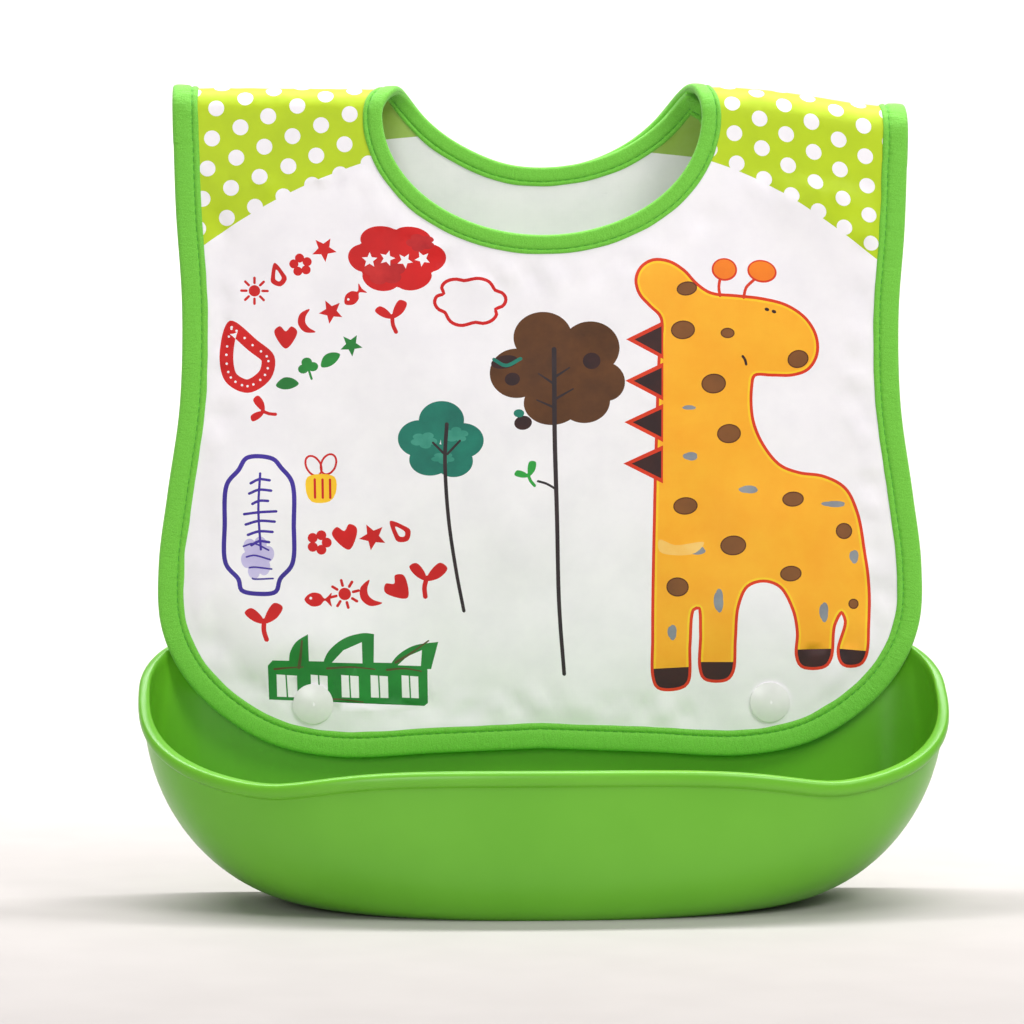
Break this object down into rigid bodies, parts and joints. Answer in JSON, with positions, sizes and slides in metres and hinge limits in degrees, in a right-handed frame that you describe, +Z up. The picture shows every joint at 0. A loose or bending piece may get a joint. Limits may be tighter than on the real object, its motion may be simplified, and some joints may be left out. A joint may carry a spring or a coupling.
{
  "type": "silicone bib",
  "caption": "Toddler's bib of printed laminated cloth with bound edges and hook-and-loop neck flaps, snapped into a free-standing moulded silicone food catcher",
  "frame": {"origin": "middle of the flat foot under the catcher, on the surface it stands on", "axes": "+Z up; the front of the bib and the catcher's lip face -Y; +X is to the right seen from the front"},
  "size_m": [0.2724, 0.1015, 0.2762],
  "materials": {
    "silicone": "satin moulded silicone",
    "cloth": "woven cloth with a printed face and a laminated back",
    "binding": "folded knit tape, stitched once",
    "snap": "glossy white acetal",
    "loop_tape": "brushed loop pile",
    "hook_tape": "woven tape with stiff hooks"
  },
  "bodies": {
    "catcher": {"catcher": "silicone", "left_snap_stud": "snap", "right_snap_stud": "snap", "left_stud_cap": "snap", "right_stud_cap": "snap"},
    "bib": {"front_panel": "cloth", "front_edge_binding": "binding", "front_neck_binding": "binding", "left_snap_cap": "snap", "right_snap_cap": "snap", "left_snap_socket": "snap", "right_snap_socket": "snap", "left_shoulder_fold": "cloth", "left_fold_edge_binding": "binding", "left_fold_neck_binding": "binding", "right_shoulder_fold": "cloth", "right_fold_edge_binding": "binding", "right_fold_neck_binding": "binding"},
    "left_flap": {"left_flap": "cloth", "left_flap_edge_binding": "binding", "left_flap_neck_binding": "binding", "loop_patch": "loop_tape"},
    "right_flap": {"right_flap": "cloth", "right_flap_edge_binding": "binding", "right_flap_neck_binding": "binding", "hook_patch": "hook_tape"}
  },
  "joints": [
    {"name": "bib_release", "type": "slide", "parent": "catcher", "child": "bib", "axis": [0, -1, 0], "range_m": [0, 0.03]},
    {"name": "right_flap_fold", "type": "hinge", "parent": "bib", "child": "right_flap", "pos_m": [0, 0.0366, 0.2646], "axis": [1, 0, 0], "range_deg": [0, 150], "deforming": ["right_shoulder_fold", "right_fold_edge_binding", "right_fold_neck_binding"]},
    {"name": "left_flap_fold", "type": "hinge", "parent": "bib", "child": "left_flap", "pos_m": [0, 0.035, 0.2646], "axis": [1, 0, 0], "range_deg": [0, 128], "deforming": ["left_shoulder_fold", "left_fold_edge_binding", "left_fold_neck_binding"]}
  ],
  "couplings": [
    {"joint": "left_flap_fold", "follows": "right_flap_fold", "ratio": 0.85}
  ]
}
